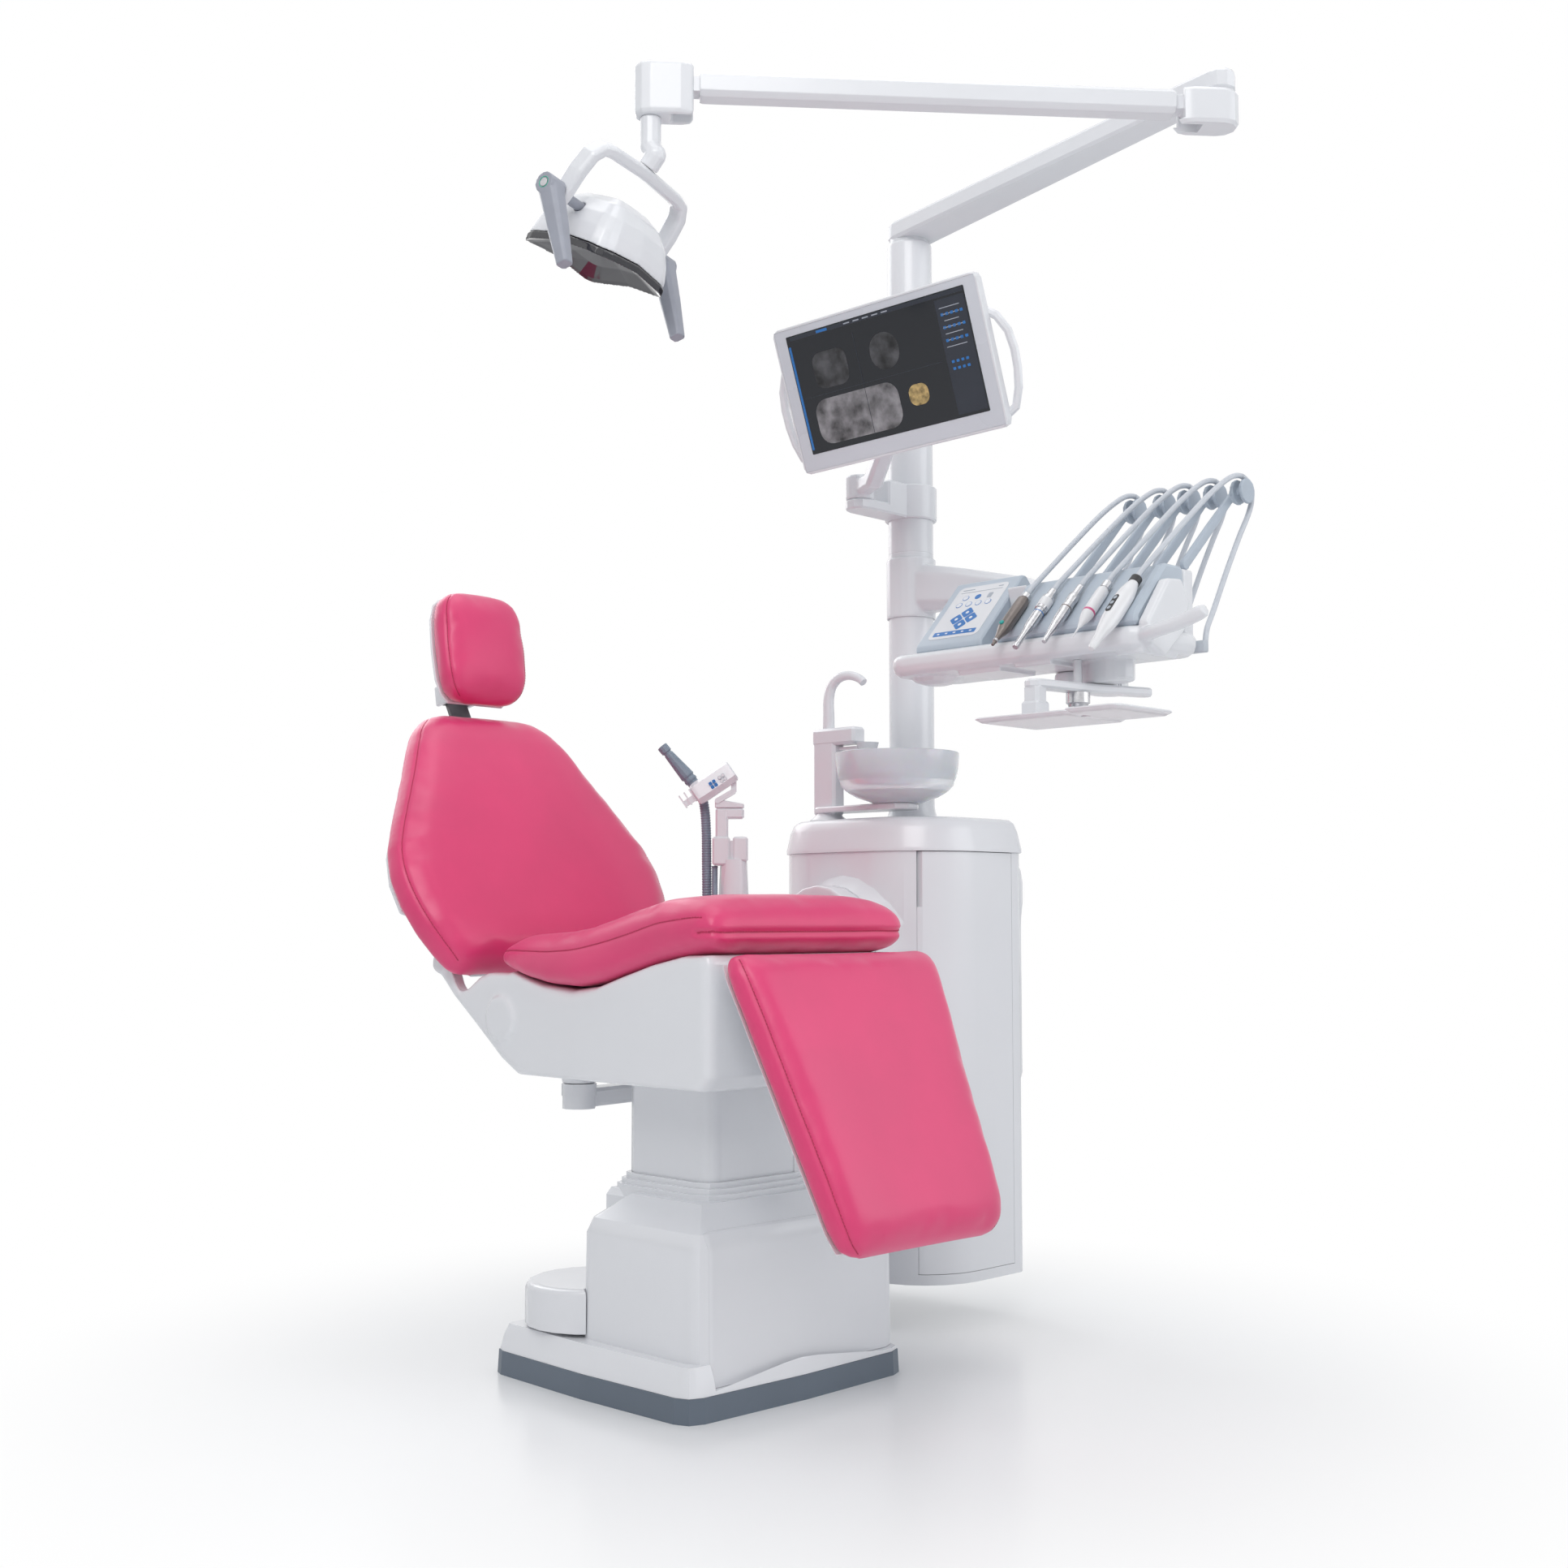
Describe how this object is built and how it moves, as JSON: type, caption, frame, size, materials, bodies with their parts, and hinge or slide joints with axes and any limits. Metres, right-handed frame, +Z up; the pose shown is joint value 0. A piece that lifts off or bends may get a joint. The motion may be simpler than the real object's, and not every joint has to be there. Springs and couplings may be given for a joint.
{
  "type": "dental treatment unit",
  "caption": "Dental treatment unit: reclining upholstered chair on a lift base, side cabinet with cuspidor, instrument delivery head on an arm, monitor, operating lamp and suction holder.",
  "frame": {"origin": "centre of the square base on the floor", "axes": "+Z up, -Y towards the patient's feet, +X towards the patient's left, where the cabinet stands"},
  "size_m": [1.2654, 1.5793, 2.289],
  "materials": {
    "white": "smooth gloss white plastic",
    "upholstery": "soft pink-crimson leatherette with a light sheen",
    "pale_blue": "satin pale blue-grey plastic",
    "dark_steel": "satin dark grey",
    "steel": "satin stainless steel",
    "suction_grey": "satin grey-blue plastic",
    "hose_grey": "satin light grey",
    "whip_grey": "satin grey",
    "bowl_white": "glossy frosted white",
    "bronze": "satin dark bronze",
    "ivory": "gloss ivory plastic",
    "screen_black": "dark glossy screen",
    "dark_glass": "dark smoked lens",
    "handle_grey": "satin grey-lavender",
    "teal": "gloss teal",
    "iron": "grey painted cast iron"
  },
  "bodies": {
    "base": {"base_plate": "iron", "base_housing": "white", "base_front_cover": "white", "cabinet_support_arm": "white", "cabinet_body": "white", "cabinet_top_cover": "white", "service_canister": "white", "post": "white", "monitor_clamp": "white"},
    "pad": {"stop_pad": "white"},
    "seat": {"lift_column": "white", "seat_cover": "white", "seat_cushion": "upholstery"},
    "back": {"backrest_shell": "white", "backrest_cushion": "upholstery"},
    "head_bar": {"headrest_bar": "dark_steel"},
    "headrest": {"headrest_shell": "white", "headrest_cushion": "upholstery"},
    "legrest": {"legrest_frame": "white", "legrest_cushion": "upholstery"},
    "assistant": {"assistant_arm": "white", "assistant_post": "white", "suction_hoses": "suction_grey"},
    "holder": {"holder_head": "white", "suction_handpiece": "suction_grey"},
    "door": {"cabinet_door": "white"},
    "cuspidor": {"filler_tower": "white", "cuspidor_bowl": "bowl_white"},
    "spout": {"water_spout": "white"},
    "arm": {"delivery_arm": "white"},
    "delivery": {"delivery_head": "white", "control_console": "pale_blue", "instrument_cradle": "pale_blue", "syringe": "bronze", "micromotor": "steel", "turbine": "steel", "scaler": "ivory", "scanner": "white", "instrument_hoses": "hose_grey"},
    "tray": {"tray_bracket": "white", "tray_plates": "steel"},
    "knob": {"tray_knob": "steel"},
    "screen_arm": {"monitor_arm": "white"},
    "screen": {"monitor_housing": "pale_blue", "monitor_screen": "screen_black"},
    "lamp_lower": {"light_arm_lower": "white"},
    "lamp_elbow": {"light_elbow": "white"},
    "lamp_spring": {"light_arm_spring": "white"},
    "lamp_knuckle": {"light_knuckle": "white"},
    "lamp_stem": {"light_stem": "white"},
    "lamp_yoke": {"light_yoke": "white"},
    "lamp_head": {"light_head": "white", "light_lens": "dark_glass", "light_handles": "handle_grey"},
    "lamp_button": {"light_button": "teal"},
    "whip_1": {"whip_1": "whip_grey"},
    "whip_2": {"whip_2": "whip_grey"},
    "whip_3": {"whip_3": "whip_grey"},
    "whip_4": {"whip_4": "whip_grey"},
    "whip_5": {"whip_5": "whip_grey"}
  },
  "joints": [
    {"name": "chair_lift", "type": "slide", "parent": "base", "child": "seat", "axis": [0, 0, 1], "range_m": [-0.13, 0.05]},
    {"name": "pad_press", "type": "slide", "parent": "base", "child": "pad", "axis": [0, 0, 1], "range_m": [-0.004, 0], "stiffness_N_per_m": 6000, "springref_m": 0.006},
    {"name": "backrest_recline", "type": "hinge", "parent": "seat", "child": "back", "pos_m": [0, 0.47441, 0.71325], "axis": [-1, 0, 0], "range_deg": [0, 50]},
    {"name": "headrest_slide", "type": "slide", "parent": "back", "child": "head_bar", "axis": [0, 0.5, 0.866], "range_m": [0, 0.08]},
    {"name": "headrest_tilt", "type": "hinge", "parent": "head_bar", "child": "headrest", "pos_m": [0, 0.76864, 1.25467], "axis": [1, 0, 0], "range_deg": [-20, 8]},
    {"name": "legrest_raise", "type": "hinge", "parent": "seat", "child": "legrest", "pos_m": [0, -0.32318, 0.73242], "axis": [-1, 0, 0], "range_deg": [0, 60]},
    {"name": "assistant_swivel", "type": "hinge", "parent": "seat", "child": "assistant", "pos_m": [-0.118, 0.195, 0.5], "axis": [0, 0, 1], "range_deg": [-6, 10]},
    {"name": "holder_swivel", "type": "hinge", "parent": "assistant", "child": "holder", "pos_m": [0.32406, 0.26794, 1.02], "axis": [0, 0, 1], "range_deg": [-20, 20], "deforming": ["suction_hoses"]},
    {"name": "cabinet_door_hinge", "type": "hinge", "parent": "base", "child": "door", "pos_m": [0.734, -0.13, 0.5], "axis": [0, 0, 1], "range_deg": [0, 100]},
    {"name": "cuspidor_swivel", "type": "hinge", "parent": "base", "child": "cuspidor", "pos_m": [0.545, 0.2, 1], "axis": [0, 0, 1], "range_deg": [-60, 0]},
    {"name": "spout_swivel", "type": "hinge", "parent": "cuspidor", "child": "spout", "pos_m": [0.545, 0.2, 1.192], "axis": [0, 0, 1], "range_deg": [-40, 40]},
    {"name": "delivery_arm_swivel", "type": "hinge", "parent": "base", "child": "arm", "pos_m": [0.7, 0.105, 1.5], "axis": [0, 0, 1], "range_deg": [-8, 60]},
    {"name": "delivery_head_swivel", "type": "hinge", "parent": "arm", "child": "delivery", "pos_m": [0.58, -0.4, 1.25], "axis": [0, 0, 1], "range_deg": [-5, 25]},
    {"name": "whip_1_swing", "type": "hinge", "parent": "delivery", "child": "whip_1", "pos_m": [0.622, -0.381, 1.44], "axis": [0, 1, 0], "range_deg": [-45, 0], "stiffness_Nm_per_rad": 0.4, "springref_deg": 17.19, "deforming": ["instrument_hoses"]},
    {"name": "whip_2_swing", "type": "hinge", "parent": "delivery", "child": "whip_2", "pos_m": [0.622, -0.449, 1.44], "axis": [0, 1, 0], "range_deg": [-45, 0], "stiffness_Nm_per_rad": 0.4, "springref_deg": 17.19, "deforming": ["instrument_hoses"]},
    {"name": "whip_3_swing", "type": "hinge", "parent": "delivery", "child": "whip_3", "pos_m": [0.622, -0.505, 1.44], "axis": [0, 1, 0], "range_deg": [-45, 0], "stiffness_Nm_per_rad": 0.4, "springref_deg": 17.19, "deforming": ["instrument_hoses"]},
    {"name": "whip_4_swing", "type": "hinge", "parent": "delivery", "child": "whip_4", "pos_m": [0.622, -0.563, 1.44], "axis": [0, 1, 0], "range_deg": [-45, 0], "stiffness_Nm_per_rad": 0.4, "springref_deg": 17.19, "deforming": ["instrument_hoses"]},
    {"name": "whip_5_swing", "type": "hinge", "parent": "delivery", "child": "whip_5", "pos_m": [0.622, -0.621, 1.44], "axis": [0, 1, 0], "range_deg": [-45, 0], "stiffness_Nm_per_rad": 0.4, "springref_deg": 17.19, "deforming": ["instrument_hoses"]},
    {"name": "tray_swivel", "type": "hinge", "parent": "delivery", "child": "tray", "pos_m": [0.5, -0.47, 1.23], "axis": [0, 0, 1], "range_deg": [-10, 20]},
    {"name": "tray_knob_turn", "type": "hinge", "parent": "tray", "child": "knob", "pos_m": [0.5, -0.47, 1.195], "axis": [0, 0, 1], "range_deg": [-90, 90]},
    {"name": "monitor_arm_swivel", "type": "hinge", "parent": "base", "child": "screen_arm", "pos_m": [0.54, 0.105, 1.66], "axis": [0, 0, 1], "range_deg": [-20, 20]},
    {"name": "monitor_tilt", "type": "hinge", "parent": "screen_arm", "child": "screen", "pos_m": [0.40264, -0.12795, 1.84899], "axis": [0.1274, -0.9906, 0.0495], "range_deg": [-15, 15]},
    {"name": "lamp_arm_swivel", "type": "hinge", "parent": "base", "child": "lamp_lower", "pos_m": [0.7, 0.105, 2.26], "axis": [0, 0, 1], "range_deg": [-10, 45]},
    {"name": "lamp_elbow_swivel", "type": "hinge", "parent": "lamp_lower", "child": "lamp_elbow", "pos_m": [0.54, -0.76, 2.24], "axis": [0, 0, 1], "range_deg": [-5, 50]},
    {"name": "lamp_spring_arm", "type": "hinge", "parent": "lamp_elbow", "child": "lamp_spring", "pos_m": [0.49577, -0.72248, 2.228], "axis": [-0.6468, -0.7626, 0], "range_deg": [-15, 20]},
    {"name": "lamp_knuckle_level", "type": "hinge", "parent": "lamp_spring", "child": "lamp_knuckle", "pos_m": [-0.17977, -0.14951, 2.228], "axis": [-0.6468, -0.7626, 0], "range_deg": [-20, 15]},
    {"name": "lamp_stem_swivel", "type": "hinge", "parent": "lamp_knuckle", "child": "lamp_stem", "pos_m": [-0.224, -0.112, 2.15], "axis": [0, 0, 1], "range_deg": [-45, 45]},
    {"name": "lamp_yoke_turn", "type": "hinge", "parent": "lamp_stem", "child": "lamp_yoke", "pos_m": [-0.256, -0.041, 1.989], "axis": [0.2257, -0.5794, 0.7832], "range_deg": [-40, 40]},
    {"name": "lamp_head_tilt", "type": "hinge", "parent": "lamp_yoke", "child": "lamp_head", "pos_m": [-0.256, -0.041, 1.989], "axis": [0.9691, 0.2155, -0.1198], "range_deg": [-30, 30]},
    {"name": "lamp_button_press", "type": "slide", "parent": "lamp_head", "child": "lamp_button", "axis": [0.9691, 0.2155, -0.1198], "range_m": [0, 0.0005], "stiffness_N_per_m": 400}
  ],
  "couplings": [
    {"joint": "lamp_knuckle_level", "follows": "lamp_spring_arm", "ratio": -1}
  ]
}
